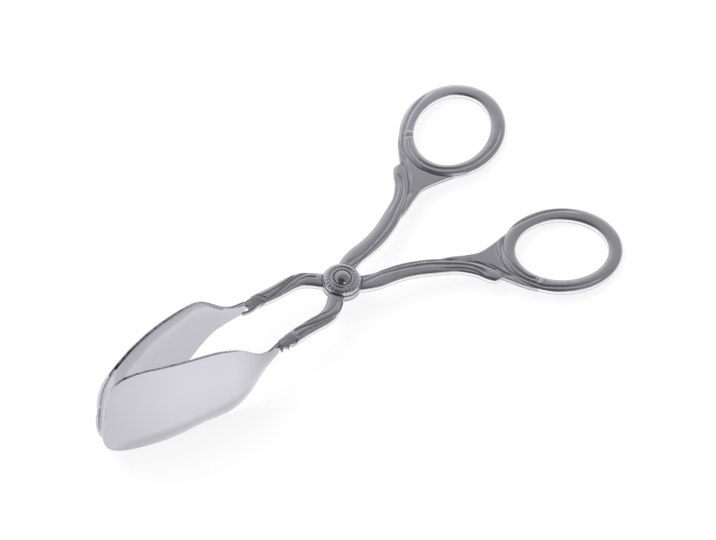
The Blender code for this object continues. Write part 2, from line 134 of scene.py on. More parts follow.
# Grooves of the casting, in millimetres: line, half width, depth, and the shares of the
# line's length over which the groove sinks in at its start and runs out at its end.
grooves = [
    # Between the plain band of the shank and its middle rib, up to the scroll's eye
    ([(5.5, 4.6), (12, 5.1), (16.4, 6.1), (21.9, 7.9), (26.3, 9.7), (30, 11.7), (34.4, 14.6),
      (37.1, 16.4), (39.7, 18.7), (41.2, 20.8), (42.2, 22.9), (42.4, 25.6)], 0.8, 0.36, 0.0, 0.06),
    # Between the middle and inner ribs, then round the scroll to the notch beside it
    ([(5.5, 2.6), (13.5, 4.3), (19.8, 5.8), (27.2, 8.4), (31.8, 11.0), (36, 13.3), (41.2, 17.4),
      (43.6, 20.1), (44.9, 22.3), (45.9, 24.3), (46.5, 26.6), (46.6, 28.8)], 0.8, 0.36, 0.0, 0.0),
    # Between the inner rib and the web
    ([(44.4, 19.8), (46.2, 23.0), (47.2, 25.4), (48.0, 28.0), (49.2, 30.6)], 0.7, 0.3, 0.5, 0.3),
    # A shallow line in the plain band
    ([(29.5, 13.6), (33.4, 16.1), (36.3, 17.9), (38.8, 20.2), (40.2, 22.3), (41.0, 24.6)],
     0.7, 0.18, 0.35, 0.2),
    # Leaf and stem of the front arm, the line under the leaf, and the line across its root
    ([(-4.9, -6.6), (-6.5, -8.0), (-8.4, -9.1), (-11.3, -9.5), (-13.4, -9.4), (-15.3, -9.2),
      (-17.7, -8.8), (-20.1, -8.3), (-22.6, -7.9), (-25.4, -7.7)], 0.8, 0.55, 0.05, 0.0),
    ([(-6.1, -5.3), (-7.3, -6.5), (-8.7, -7.4), (-10.5, -7.8), (-12.1, -7.8), (-14.0, -7.5),
      (-15.8, -7.5), (-19.6, -7.2), (-22.4, -6.7)], 0.6, 0.35, 0.1, 0.2),
    ([(-10.6, -10.8), (-12.6, -10.5), (-14.6, -10.2), (-17.7, -9.9), (-20.9, -9.7), (-23.4, -9.7),
      (-26.2, -9.9)], 0.5, 0.45, 0.2, 0.0),
    ([(-25.4, -7.7), (-26.2, -9.2), (-27.0, -10.6), (-27.6, -12.0)], 0.5, 0.35, 0.0, 0.0),
    # Under the hook
    ([(54.1, 36.7), (55.2, 36.3), (56.4, 35.7), (57.9, 34.9)], 0.6, 0.22, 0.1, 0.0)]

# Two lines of each ring, which differ a little between the castings: past the hook and along
# the web to the lower edge, then from the hook round the hole
ring_grooves = {
    1: [([(74.2, 47.2), (71.1, 47.0), (68.3, 46.3), (65.4, 45.3), (62.5, 43.8), (60.1, 42.3),
          (57.5, 40.4), (55.5, 38.6), (53.8, 36.8), (52.5, 35.3), (51.3, 33.3), (50.7, 31.5),
          (50.4, 28.5), (50.5, 25.5), (51.0, 23.0), (52.6, 20.1), (54.2, 18.0), (56.3, 16.1),
          (58.6, 14.6), (61.5, 13.3), (65.0, 12.6)], 0.8, 0.36, 0.15, 0.12),
        ([(55.6, 35.2), (54.4, 33.8), (53.4, 32.0), (52.9, 30.2), (52.6, 28.4), (52.5, 26.4),
          (52.8, 24.6), (53.5, 22.6), (54.8, 20.5), (56.8, 18.6), (58.5, 17.5), (60.6, 16.3),
          (62.6, 15.6), (64.8, 15.0), (66.7, 14.8), (69.4, 14.9), (71.7, 15.2), (74.5, 15.9),
          (76.9, 16.7), (79.3, 17.9), (81.7, 19.5), (83.4, 20.9), (85.5, 23.2)],
         0.8, 0.36, 0.0, 0.2)],
    -1: [([(75.7, 46.7), (72.1, 46.8), (68.6, 46.3), (64.2, 44.9), (59.7, 42.4), (55.6, 39.3),
           (54.0, 37.1), (52.3, 34.4), (50.9, 31.2), (50.1, 28.4), (50.0, 25.3), (50.2, 22.8),
           (50.8, 20.2), (51.8, 17.9), (53.0, 16.1), (54.6, 14.7), (56.4, 13.8)],
          0.8, 0.36, 0.15, 0.06),
         ([(55.0, 35.3), (53.7, 33.7), (52.9, 32.0), (52.3, 28.9), (52.2, 26.3), (52.5, 23.5),
           (53.0, 20.9), (54.2, 18.4), (55.7, 16.4), (58.0, 14.6), (60.5, 13.9), (65.5, 13.8),
           (69.5, 14.2), (73.4, 14.8), (76.8, 15.9), (80.2, 17.7), (83.1, 20.0), (85.6, 22.9)],
          0.8, 0.36, 0.0, 0.2)]}

# Painted highlight along the lower lever's leaf, in the same form, and full at a thousand
# millimetres
leaf_painted_highlight = ([(-8.6, -10.0), (-9.8, -10.3), (-11.0, -10.2), (-13.0, -9.95), (-15.7, -9.6),
               (-18.1, -9.3), (-20.6, -8.9), (-22.1, -8.5)], 0.62, 1000.0, 0.05, 0.6)

# Raised lips beside the hook and the scroll
lips = [([(54.3, 38.0), (55.6, 37.9), (56.9, 37.2), (58.0, 36.5)], 0.9, 0.16, 0.3, 0.0),
        ([(47.8, 24.6), (48.6, 27.0), (49.6, 29.4)], 0.5, 0.1, 0.4, 0.3)]


def groove_fall(spots, knots, half_width, depth, rise, fade):
    """How far one groove lowers plan points: depth times half of 1 + cos(pi d / half width),
    with d the distance to its line, times a sine ramp near the line's two ends."""
    line = fair_line(np.array(knots) * MM, 0.25 * MM)
    reach = half_width * MM
    near = np.all((spots > line.min(0) - reach) & (spots < line.max(0) + reach), axis=1)
    span = np.linalg.norm(spots[near, None] - line, axis=2)
    share = span.argmin(axis=1) / (len(line) - 1)
    ramp = np.clip(share / max(rise, 0.001), 0, 1) * np.clip((1 - share) / max(fade, 0.001), 0, 1)
    valley = 0.5 + 0.5 * np.cos(math.pi * np.clip(span.min(axis=1) / reach, 0, 1))
    fall = np.zeros(len(spots))
    fall[near] = depth * MM * valley * np.sin(ramp * math.pi / 2)
    return fall


def carved(spots, side):
    """Fall of a casting's surface at plan points: the deepest groove there, and what is filed
    off the clasp, less the lips."""
    lines = grooves + ring_grooves[side]
    deepest = np.max([groove_fall(spots, *line) for line in lines], axis=0)
    clasp = CLASP_FALL * np.clip((CLASP_START - spots[:, 0]) / (3 * MM), 0, 1)
    return deepest + clasp - np.max([groove_fall(spots, *lip) for lip in lips], axis=0)


def bar_section(left, right, side, columns=49):
    """Rows of a cast bar between two plan edges. Over v from -1 to 1 across it, the top falls
    from its crown as a superellipse of powers 2.6 and 2.2, which ends upright, and by the
    grooves. The sides are upright, and the flat back has a small bevel to each side."""
    v = np.sin(np.linspace(-1, 1, columns) * math.pi / 2)
    middle, half = (left + right) / 2, (left - right) / 2
    top = middle[:, None] + half[:, None] * v[:, None]
    cut = carved(top.reshape(-1, 2), side).reshape(top.shape[:2])
    fall = np.minimum(CROWN_FALL * (1 - (1 - np.abs(v) ** 2.6) ** (1 / 2.2)) + cut, CROWN_FALL)
    bevel = 1 - EDGE_ROUND / np.maximum(np.linalg.norm(half, axis=1), 2 * EDGE_ROUND)[:, None]
    shares = np.array([1, 1, 0, 0, 0, -1, -1]) + bevel * np.array([0, 0, 1, 0, -1, 0, 0])
    under = middle[:, None] + half[:, None] * shares[:, :, None]
    low = np.array([WALL_MIDDLE, EDGE_ROUND - CASTING_DEEP, -CASTING_DEEP, -CASTING_DEEP,
                    -CASTING_DEEP, EDGE_ROUND - CASTING_DEEP, WALL_MIDDLE])
    height = np.concatenate([-fall, np.broadcast_to(low, (len(left), 7))], axis=1)
    return np.concatenate([np.concatenate([top, under], axis=1), height[:, :, None]], axis=2)


def bar_edges():
    """Plan edges of the bar: half its width to the left and right of its middle line, with a
    round end past the scroll."""
    line = fair_line(bar_drawing, 0.3 * MM)
    ahead = (line[-1] - line[-2])[:2]
    ahead = ahead / np.linalg.norm(ahead)
    turns = np.radians(np.linspace(6, 84, 14))[:, None]
    tip = np.hstack([line[-1, :2] + ahead * line[-1, 2] / 2 * np.sin(turns),
                     line[-1, 2] * np.cos(turns)])
    line = np.vstack([line, tip])
    along = np.gradient(line[:, :2], axis=0)
    along /= np.linalg.norm(along, axis=1)[:, None]
    side = np.column_stack([-along[:, 1], along[:, 0]]) * line[:, 2:] / 2
    return line[:, :2] + side, line[:, :2] - side


RING_MIDDLE = MM * np.array([70.2, 30.4])
RING_OUTSIDE = (20.9, 17.4, 21.5)       # half axes in millimetres, and turn in degrees
RING_HOLE = (16.0, 12.5, 25.3)


def ring_edge(ellipse, angles):
    """Ellipse about the ring's middle, turned by its degrees: the plan points where rays from
    the middle at the given angles meet it."""
    long_half, short_half, turn = ellipse
    local = angles - math.radians(turn)
    reach = MM / np.hypot(np.cos(local) / long_half, np.sin(local) / short_half)
    return RING_MIDDLE + np.column_stack([np.cos(angles), np.sin(angles)]) * reach[:, None]


WEB_TOP = -0.6 * MM
WEB_UNDER = -2.35 * MM
WEB_ROUND = 0.5 * MM
WEB_ROOT = 29 * MM              # where the web leaves the shank
WEB_ENDS = (245, 141)           # where its free edges run into the ring, degrees
hollow_edge = MM * np.array([(36.0, 11.7), (42.0, 14.5), (48.0, 15.9)])
brow_edge = MM * np.array([(46.4, 28.7), (50.1, 34.8), (53.0, 38.4)])


def web_section(left, right, side, columns=90):
    """Closed rows of the web, one on each ray from the ring's middle to its outer line: the
    hollow edge, the middle of the shank, then the brow beside the scroll. A row starts inside
    the ring's bar. The top falls by the grooves, and as a quarter circle along free edges."""
    middle = (left + right) / 2
    root = int(np.argmin(np.abs(right[:, 0] - WEB_ROOT)))
    start = (middle[root] + 2 * right[root]) / 3
    scroll = bar_drawing[-1, :2]
    ends = np.radians(WEB_ENDS)
    low, high = (5 * ring_edge(RING_OUTSIDE, ends) + ring_edge(RING_HOLE, ends)) / 6
    hollow = fair_line([start, *hollow_edge, low], 0.3 * MM)
    brow = fair_line([scroll, *brow_edge, high], 0.3 * MM)
    shank = middle[root + 1:][middle[root + 1:, 0] < scroll[0] - 0.2 * MM]
    outer = np.vstack([hollow[::-1], shank, brow])
    angles = np.arctan2(*(outer - RING_MIDDLE).T[::-1])
    inner = (ring_edge(RING_OUTSIDE, angles) + ring_edge(RING_HOLE, angles)) / 2
    share = np.linspace(0, 1, columns)[:, None]
    plan = inner[:, None] * (1 - share) + outer[:, None] * share
    flat = plan.reshape(-1, 2)
    edge = np.min([np.linalg.norm(flat[:, None] - line[::2], axis=2).min(axis=1)
                   for line in (hollow, brow)], axis=0)
    inward = np.clip(edge / WEB_ROUND, 0, 1)
    height = WEB_TOP - WEB_ROUND * (1 - np.sqrt(1 - (1 - inward) ** 2)) - carved(flat, side)
    top = np.concatenate([plan, height.reshape(plan.shape[:2] + (1,))], axis=2)
    under = np.concatenate([plan, np.full(plan.shape[:2] + (1,), WEB_UNDER)], axis=2)[:, ::-1]
    return np.concatenate([top, under], axis=1)


def turned(profile, sides=72):
    """Rows of a solid turned about the pivot axis, from a profile of radius and height."""
    turns = np.linspace(0, 2 * math.pi, sides, endpoint=False)
    radius, height = np.asarray(profile, float).T
    return np.stack([radius[:, None] * np.cos(turns), radius[:, None] * np.sin(turns),
                     np.repeat(height[:, None], sides, 1)], axis=-1)


def disc(radius, top, under):
    """A plain disc on the pivot axis, as a boss or as a cutter."""
    return skin("disc", turned([(radius, under), (radius, top)]), around=True, capped=True)


def held(name, mesh):
    """An object for a mesh, linked to the scene."""
    piece = bpy.data.objects.new(name, mesh)
    bpy.context.collection.objects.link(piece)
    return piece


def carry(mesh, **layers):
    """Values from 0 to 1 on the mesh's points, for the materials, as named attributes."""
    for name, values in layers.items():
        layer = mesh.attributes.new(name, "FLOAT", "POINT")
        layer.data.foreach_set("value", np.clip(values, 0, 1).astype(float))


def points_of(mesh):
    """The points of a mesh, as rows of three."""
    spots = np.empty(len(mesh.vertices) * 3)
    mesh.vertices.foreach_get("co", spots)
    return spots.reshape(-1, 3)


def smooth(mesh, degrees):
    """Smooth shading, with edges sharper than the given angle left crisp."""
    mesh.shade_smooth()
    mesh.set_sharp_from_angle(angle=math.radians(degrees))


PLATE_TOP = -0.27 * MM
PLATE_UNDER = -1.4 * MM
PLATE_BEVEL = 0.16 * MM
CLAW_MIDDLE = (-33.6, -8.55)    # of its round notch, 1 mm in radius


def tines(side):
    """The filed end of a casting that holds the scoop's strap, as one plate. On the lower
    lever its outer side has two round notches, and on the upper lever its inner side has a
    claw with a round notch beside the strap."""
    around = np.radians(np.linspace(-90, 100, 15))
    claw = np.array(CLAW_MIDDLE) + np.column_stack([np.cos(around), np.sin(around)])
    if side > 0:
        outline = [(-27.45, -10.6), (-27.65, -11.3), (-28.15, -11.8), (-28.85, -11.9),
                   (-29.25, -11.5), (-29.85, -11.4), (-30.35, -11.6), (-30.55, -12.1),
                   (-31.15, -12.3), (-31.45, -11.7), (-31.75, -11.3), (-32.25, -11.1),
                   (-32.75, -11.3), (-33.15, -12.0), (-33.65, -11.9), (-33.55, -11.1),
                   (-33.25, -10.2), (-33.25, -8.8), (-32.25, -7.9), (-27.45, -7.4)]
    else:
        outline = [(-27.45, -11.0), (-30.95, -11.1), (-32.65, -10.8), (-33.45, -10.2), *claw,
                   (-34.65, -7.75), (-35.55, -7.9), (-35.95, -7.5), (-35.45, -7.0),
                   (-33.65, -6.6), (-31.75, -6.6), (-29.95, -7.0), (-27.45, -7.2)]
    outline = np.array(outline) * MM * (1, side)
    return prism(outline, PLATE_TOP, PLATE_UNDER, PLATE_BEVEL)


def prism(outline, top, under, bevel):
    """A plate over a plan outline, its upper edge bevelled by moving the outline inwards."""
    along = np.roll(outline, -1, 0) - np.roll(outline, 1, 0)
    along /= np.linalg.norm(along, axis=1)[:, None]
    x, y = outline.T
    turning = np.sign(np.sum(x * np.roll(y, -1) - y * np.roll(x, -1)))
    inward = turning * np.column_stack([-along[:, 1], along[:, 0]])
    steps = ((0, under), (0, top - bevel), (0.3 * bevel, top - 0.3 * bevel), (bevel, top))
    rows = [np.column_stack([outline + inward * inset, np.full(len(outline), height)])
            for inset, height in steps]
    return skin("plate", rows, around=True, capped=True)


ROSETTE_SEAT = -1.2 * MM        # seat turned into the upper lever
ROSETTE_ROOM = 6.95 * MM        # radius of that seat
BOSSES_MEET = -2.12 * MM        # underside of the upper boss
LOWER_FACE = -2.2 * MM
LOWER_BACK = -3.1 * MM
BOSS_RADIUS = 6.7 * MM
BOSS_SUNK = 0.3 * MM            # a boss reaches this far into what is turned off it
BOSS_WELL = 6.95 * MM           # each lever is cleared to this radius round the other's boss
BORE = 1.8 * MM
BELOW = -6 * MM
ABOVE = 3 * MM
CUTTER_BEVEL = 0.1 * MM
fork_mouth = MM * np.array([(-32.4, -8.95), (-32.4, -10.25), (-40, -10.25), (-40, -8.95)])
fork_end = MM * np.array([(-29.1, 0), (-29.1, -20), (-40, -20), (-40, 0)])


def worked(piece, steps):
    """Join solids to a piece or cut them off, in turn, with an exact Boolean for each, and
    give the mesh that it ends with."""
    for operation, mesh in steps:
        guide = held("guide", mesh)
        step = piece.modifiers.new("step", "BOOLEAN")
        step.operation = operation
        step.object = guide
        step.solver = "EXACT"
        cut = piece.evaluated_get(bpy.context.evaluated_depsgraph_get())
        made = bpy.data.meshes.new_from_object(cut)
        weld(made, 0.0005 * MM)
        piece.modifiers.clear()
        piece.data = made
        bpy.data.objects.remove(guide)
    return made


def lever(name, side):
    """One casting: bar, ring, web and boss joined, then cut for the crossing, the bore and the
    fork. Side 1 is the lower lever as drawn, and -1 the upper one, mirrored. Its points carry
    how deep they lie in a groove, whether they are on a side wall or on the leaf's strip,
    which get a painted highlight, and a painted light on the top, which grows towards the
    far ring."""
    left, right = bar_edges()
    angles = np.linspace(0, 2 * math.pi, 400, endpoint=False)
    mirror = np.array([1.0, side, 1.0])
    bar = bar_section(left, right, side) * mirror
    outside, hole = ring_edge(RING_OUTSIDE, angles), ring_edge(RING_HOLE, angles)
    ring = bar_section(outside, hole, side) * mirror
    web = web_section(left, right, side) * mirror
    piece = held(name, skin(name, bar, around=True, capped=True))
    steps = [("UNION", skin("ring", ring, around=True, along=True)),
             ("UNION", skin("web", web, around=True, capped=True))]
    if side > 0:
        steps += [("UNION", disc(BOSS_RADIUS, LOWER_FACE + BOSS_SUNK, LOWER_BACK)),
                  ("DIFFERENCE", disc(BOSS_WELL, ABOVE, LOWER_FACE))]
    else:
        steps += [("UNION", disc(BOSS_RADIUS, ROSETTE_SEAT + BOSS_SUNK, BOSSES_MEET - BOSS_SUNK)),
                  ("DIFFERENCE", disc(ROSETTE_ROOM, ABOVE, ROSETTE_SEAT)),
                  ("DIFFERENCE", disc(BOSS_WELL, BOSSES_MEET, BELOW))]
    steps += [("DIFFERENCE", disc(BORE, ABOVE, BELOW)),
              ("DIFFERENCE", prism(fork_end * (1, side), ABOVE, BELOW, CUTTER_BEVEL)),
              ("UNION", tines(side)),
              ("DIFFERENCE", prism(fork_mouth * (1, side), ABOVE, BELOW, CUTTER_BEVEL))]
    made = worked(piece, steps)
    spots = points_of(made)
    facing = np.empty(spots.size)
    made.vertex_normals.foreach_get("vector", facing)
    facing = facing.reshape(-1, 3)
    # Dark in the grooves of the top, from half a millimetre down, in the clasp, and at the
    # foot of the walls. Upright counts from just under the crown's edge.
    on_top = spots[:, 2] > -CROWN_FALL - 0.2 * MM
    foot = spots[:, 2] < 0.35 * MM - CASTING_DEEP
    hollow = carved(spots[:, :2] * (1, side), side) / (0.5 * MM) * on_top
    hollow = np.maximum(hollow, 0.75 * np.clip((CLASP_START - spots[:, 0]) / MM, 0, 1))
    hollow = np.maximum(hollow, 0.9 * foot)
    wall_top = np.where(spots[:, 0] < CLASP_START - MM, -0.35 * MM, 0.3 * MM - CROWN_FALL)
    # Upright side walls get a painted highlight.
    upright = (1 - np.abs(facing[:, 2])) * (spots[:, 2] < wall_top) * (1 - foot)
    if side > 0:
        # A painted highlight along the lower lever's leaf.
        leaf_highlight = groove_fall(spots[:, :2], *leaf_painted_highlight) * (spots[:, 2] > -CROWN_FALL)
        upright = np.maximum(upright, leaf_highlight)
    lies = laid(spots)
    # Painted light on the top, growing towards the far ring.
    shine = (lies[:, 1] - 20 * MM) / (30 * MM)
    carry(made, hollow=hollow, upright=upright, shine=shine)
    made.vertices.foreach_set("co", lies.ravel())
    made.update()
    smooth(made, 38)
    return piece


class Wire:
    """A shader value in sums: each operator adds its Math node and gives the result's wire."""

    def __init__(self, socket):
        self.socket = socket

    def math(self, operation, *others):
        node = self.socket.id_data.nodes.new("ShaderNodeMath")
        node.operation = operation
        for slot, value in zip(node.inputs, (self, *others)):
            plug(slot, value)
        return Wire(node.outputs[0])

    def __add__(self, other):
        return self.math("ADD", other)

    def __mul__(self, other):
        return self.math("MULTIPLY", other)

    def __sub__(self, other):
        return self.math("SUBTRACT", other)

    def __rsub__(self, other):
        return self * -1.0 + other

    __radd__ = __add__
    __rmul__ = __mul__


def plug(slot, value):
    """Link a wire to a socket, or set the socket to a plain value."""
    if isinstance(value, Wire):
        slot.id_data.links.new(value.socket, slot)
    else:
        slot.default_value = value


class Bench:
    """A node tree being wired up."""

    def __init__(self, tree):
        self.tree = tree

    def node(self, kind, settings, output=None, **sockets):
        """Add a node: its settings first, then the values or wires of its sockets."""
        made = self.tree.nodes.new("ShaderNode" + kind)
        for key, value in settings.items():
            setattr(made, key, value)
        for key, value in sockets.items():
            name = key.replace("_", " ")
            plug(next(s for s in made.inputs if s.enabled and s.name == name), value)
        return Wire(next(s for s in made.outputs if s.enabled and output in (None, s.name)))

    def carried(self, name):
        """A value that the piece's points carry."""
        return self.node("Attribute", {"attribute_name": name}, "Fac")

    def step(self, value, low, high):
        """0 below low, 1 above high, and a smooth step between them."""
        return self.node("MapRange", {"interpolation_type": "SMOOTHSTEP"}, Value=value,
                         From_Min=low, From_Max=high)

    def blend(self, share, low, high):
        """Colour low where share is 0, and high where it is 1."""
        return self.node("Mix", {"data_type": "RGBA"}, Factor=share, A=low, B=high)


class Finish(Bench):
    """A metal under construction: its fixed values, its Object coordinates and its shader."""

    def __init__(self, name, **fixed):
        self.material = bpy.data.materials.new(name)
        self.material.use_nodes = True
        super().__init__(self.material.node_tree)
        self.shader = self.tree.nodes["Principled BSDF"]
        self.feed(**fixed)
        self.place = self.node("TexCoord", {}, "Object")

    def feed(self, **sockets):
        """Set or link sockets of the shader."""
        for key, value in sockets.items():
            plug(self.shader.inputs[key.replace("_", " ")], value)

    def noise(self, scale, detail=3.0, stretch=(1, 1, 1)):
        """Noise about 0.5, in patches per metre, drawn out where a stretch is below 1."""
        place = self.node("Mapping", {}, Vector=self.place, Scale=stretch)
        return self.node("TexNoise", {}, Vector=place, Scale=scale, Detail=detail)

    def relief(self, height, distance):
        """Bump, in metres, from a height of 0 to 1."""
        self.feed(Normal=self.node("Bump", {}, Height=height, Distance=distance))


def grey(level):
    """A metal's grey, a little violet."""
    return (level, level * 0.985, level * 1.075, 1.0)


def satin_casting():
    """Cast metal, satin polished: dark and dull in the grooves, brighter and smoother on the
    ridges that hands rub, smoother on the upright sides, with a painted highlight there and
    on the leaf's strip, painted light on the top that grows towards the far ring, the fine
    unevenness of a casting and soft polishing streaks."""
    finish = Finish("satin_casting", Metallic=1.0)
    hollow = finish.carried("hollow")
    # Painted highlight, nearly white, on the side walls and along the leaf's strip.
    side = finish.step(finish.carried("upright"), 0.55, 0.9)
    cloud = finish.noise(160, detail=4)
    streak = finish.noise(900, detail=2, stretch=(0.35, 1.0, 1.0))
    pits = finish.noise(3500, detail=2)
    dark = finish.step(hollow, 0.25, 0.90) * 0.42 + finish.step(cloud, 0.45, 0.75) * 0.14
    # Painted light: the top is lighter towards the far ring.
    polished = finish.blend(finish.carried("shine"), grey(0.62), grey(0.82))
    top = finish.blend(dark, polished, grey(0.15))
    finish.feed(Base_Color=finish.blend(side, top, (0.9, 0.9, 0.93, 1.0)),
                Roughness=hollow * 0.14 + cloud * 0.10 + streak * 0.06 + 0.20 - side * 0.08)
    finish.relief(pits * 0.35 + cloud * 0.65, 0.04 * MM)
    return finish.material


casting_metal = satin_casting()
for node_name, side, body in (("lower_lever", 1, "lower_half"), ("upper_lever", -1, "upper_half")):
    casting = lever(node_name + "_casting", side)
    casting.data.materials.clear()
    casting.data.materials.append(casting_metal)
    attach(casting, body)
    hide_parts(node_name)

# The two scoops
# Each is pressed from sheet and mirror polished. A flat strap stands on edge in the fork, and
# widens into a scoop that is hollow towards the other one, with a blunt round end.

SHEET = 1.15 * MM
SCOOP_ROOT = -33.5 * MM         # where the strap comes out of the fork
SCOOP_LONG = 64 * MM
SCOOP_HALF = 21.2 * MM
TIP_START = 0.79                # from here on, as a share of the length, the end is rounded
TIP_LONG = 0.207
RIM_ROLL = 1.1 * MM             # width of the rolled rim inside
# The painted dark reflection inside the rolled rim reaches this far in.
RIM_DARK = 1.8 * MM             # width over which it can show dark
RIM_SPAN = (0.12, 0.91)         # between these shares of the length
RIMS_END = 2.0                  # millimetres from the centre plane to a rim at the end
RIMS_SPREAD = 7.6               # how much farther out it is in the fork
HOLLOW_DEEP = 4.5
FLATTER_END = 0.7               # of the front scoop

# By share of the length: half height over the full one, how far the rims have spread, how
# many millimetres they lean in above, and how deep the hollow is
scoop_height = [(0.00, 0.145), (0.08, 0.195), (0.15, 0.34), (0.22, 0.57), (0.29, 0.75),
                (0.38, 0.855), (0.50, 0.925), (0.65, 0.975), (TIP_START, 1.0)]
scoop_spread = [(0.0, 1.0), (0.1, 1.12), (0.2, 1.20), (0.3, 1.16), (0.44, 1.02),
                (0.6, 0.829), (0.74, 0.561), (0.85, 0.28), (0.94, 0.043), (1.0, 0.0)]
scoop_lean = [(0.0, 0.0), (0.1, -0.2), (0.25, -0.6), (0.45, -0.35), (0.65, 0.05),
              (0.85, 0.4), (1.0, 0.5)]
scoop_depth = [(0.0, 0.0), (0.1, 0.22), (0.25, 0.82), (0.4, 1.06), (0.7, 0.8), (0.9, 0.35),
               (1.0, 0.15)]


def scoop_level(along):
    """Height of the scoop's centre line: it sinks by 1.2 mm past the fork, and again at the end."""
    sinking = np.interp(along / SCOOP_LONG, (0.0, 0.07, 0.8, 1.0), (0.0, 1.0, 1.0, 1.8))
    return (-1.25 - 1.2 * sinking) * MM


def scoop_face(along, height, side):
    """How far the scoop's middle surface lies outside the centre plane: distance of its rims
    plus the depth of its hollow times 1 - t * t, with t the height over its full half height.
    Below, the neck is flatter than that. The rims also lean in or out by up to 0.6 mm, and the
    front scoop's end is flatter by 0.7 mm."""
    share = along / SCOOP_LONG
    rims = RIMS_END + RIMS_SPREAD * np.interp(share, *fair_line(scoop_spread, 0.01).T)
    flatter = FLATTER_END * np.clip((share - 0.5) / 0.4, 0, 1) * (side < 0)
    hollow = HOLLOW_DEEP * np.interp(share, *fair_line(scoop_depth, 0.01).T)
    full = SCOOP_HALF * np.interp(share, *fair_line(scoop_height, 0.008).T)
    t = (height - scoop_level(along)) / full
    flat_neck = 0.3 + 0.7 * np.clip((share - 0.14) / 0.3, 0, 1)
    upper_lean = np.interp(share, *fair_line(scoop_lean, 0.01).T)
    lower_lean = 0.4 * np.interp(share, (0.0, 0.12, 0.5, 0.8), (0.0, 1.0, 1.0, 0.0))
    lean = np.where(t < 0, lower_lean, upper_lean) * t * t
    bow = hollow * (1 - np.where(t < 0, flat_neck, 1.0) * t * t)
    return (rims + bow - flatter * (1 - t * t) - lean) * MM


def scoop_rows(side):
    """Along the scoop: distance past the fork, and half heights above and below the centre
    line, a twentieth more above and a fiftieth less below. The end is a superellipse, of
    power 4 above and 3 below. The front scoop's end is a millimetre longer, has power 3.5
    above, and ends a little higher below."""
    tip = np.sin(np.radians(np.linspace(0, 89, 40))[1:]) ** (2 / 3)
    share, height = fair_line(scoop_height, 0.008).T
    tip_long = TIP_LONG + 0.016 * (side < 0)
    along = np.concatenate([(-0.05, -0.02, -0.008), share, TIP_START + tip_long * tip])
    strap = np.full(3, 0.05)
    raised = 1 + 0.05 * np.clip((share - 0.2) / 0.2, 0, 1)
    power = 4.0 + 0.5 * min(side, 0)
    above = np.concatenate([strap, height * raised, 1.05 * (1 - tip ** power) ** (1 / power)])
    lowered = 1 - 0.02 * np.clip((share - 0.2) / 0.2, 0, 1)
    below = np.concatenate([strap, height * lowered, 0.98 * (1 - tip ** 3) ** (1 / 3)])
    below *= 1 - 0.03 * (side < 0) * np.clip((along - 0.6) / 0.25, 0, 1)
    return along[:, None] * SCOOP_LONG, above[:, None] * SCOOP_HALF, below[:, None] * SCOOP_HALF


def distance(spots, outline):
    """Distance of each point to the nearest point of an outline."""
    return np.concatenate([np.linalg.norm(part[:, None] - outline, axis=2).min(axis=1)
                           for part in np.array_split(spots, 20)])


def scoop(name, side):
    """A scoop of sheet metal. Both faces stand off from the middle surface along its normal by
    half the thickness, which falls to nothing at the outline as a quarter ellipse does, over
    a third of the thickness outside and over 1.1 mm inside, where the rim is rolled. Its
    points carry their share of its length, how low they lie, whether they face outwards, and
    how near they are to the upper rim on the inside."""
    # Columns from the lower rim, where v is -1, to the upper one, closest at both rims
    edge = np.array([0.0, 0.002, 0.005, 0.009, 0.014, 0.021, 0.03])
    v = 2 * np.concatenate([edge, np.linspace(0.05, 0.95, 50), 1 - edge[::-1]]) - 1
    along, above, below = scoop_rows(side)
    height = scoop_level(along) + np.where(v > 0, above, below) * v
    along = np.broadcast_to(along, height.shape)
    out = scoop_face(along, height, side)
    pitch = 0.02 * MM
    ahead, behind = (scoop_face(along + step, height, side) for step in (pitch, -pitch))
    over, under = (scoop_face(along, height + step, side) for step in (pitch, -pitch))
    slope_x = (ahead - behind) / (2 * pitch)
    slope_z = (over - under) / (2 * pitch)
    normal = np.stack([slope_x, np.full(height.shape, float(side)), -slope_z], axis=-1)
    normal /= np.linalg.norm(normal, axis=2)[:, :, None]
    middle = np.stack([SCOOP_ROOT - along, side * out, height], axis=-1)
    outline = np.concatenate([middle[:, 0], middle[-1], middle[::-1, -1]])[:, ::2]
    reach = distance(middle[:, :, ::2].reshape(-1, 2), outline).reshape(height.shape)
    rims = [1 - np.clip(reach / width, 0, 1) for width in (SHEET / 3, RIM_ROLL)]
    outside, inside = (SHEET / 2 * np.sqrt(1 - near ** 2)[:, :, None] for near in rims)
    back = (middle - normal * inside)[:, -2:0:-1]
    rows = np.concatenate([middle + normal * outside, back], axis=1)
    mesh = skin(name, rows, around=True, capped=True)
    spots = points_of(mesh)
    share = (SCOOP_ROOT - spots[:, 0]) / SCOOP_LONG
    low = (scoop_level(share * SCOOP_LONG) - spots[:, 2]) / SCOOP_HALF
    outer = side * spots[:, 1] > scoop_face(share * SCOOP_LONG, spots[:, 2], side)
    rim = 1 - distance(spots[:, ::2], outline) / RIM_DARK
    rim = rim * (1 - outer) * (share > RIM_SPAN[0]) * (share < RIM_SPAN[1]) * (low < 0)
    carry(mesh, along=share, low=low, outer=outer, rim=rim)
    mesh.vertices.foreach_set("co", laid(spots).ravel())
    mesh.update()
    smooth(mesh, 50)
    return held(name, mesh)


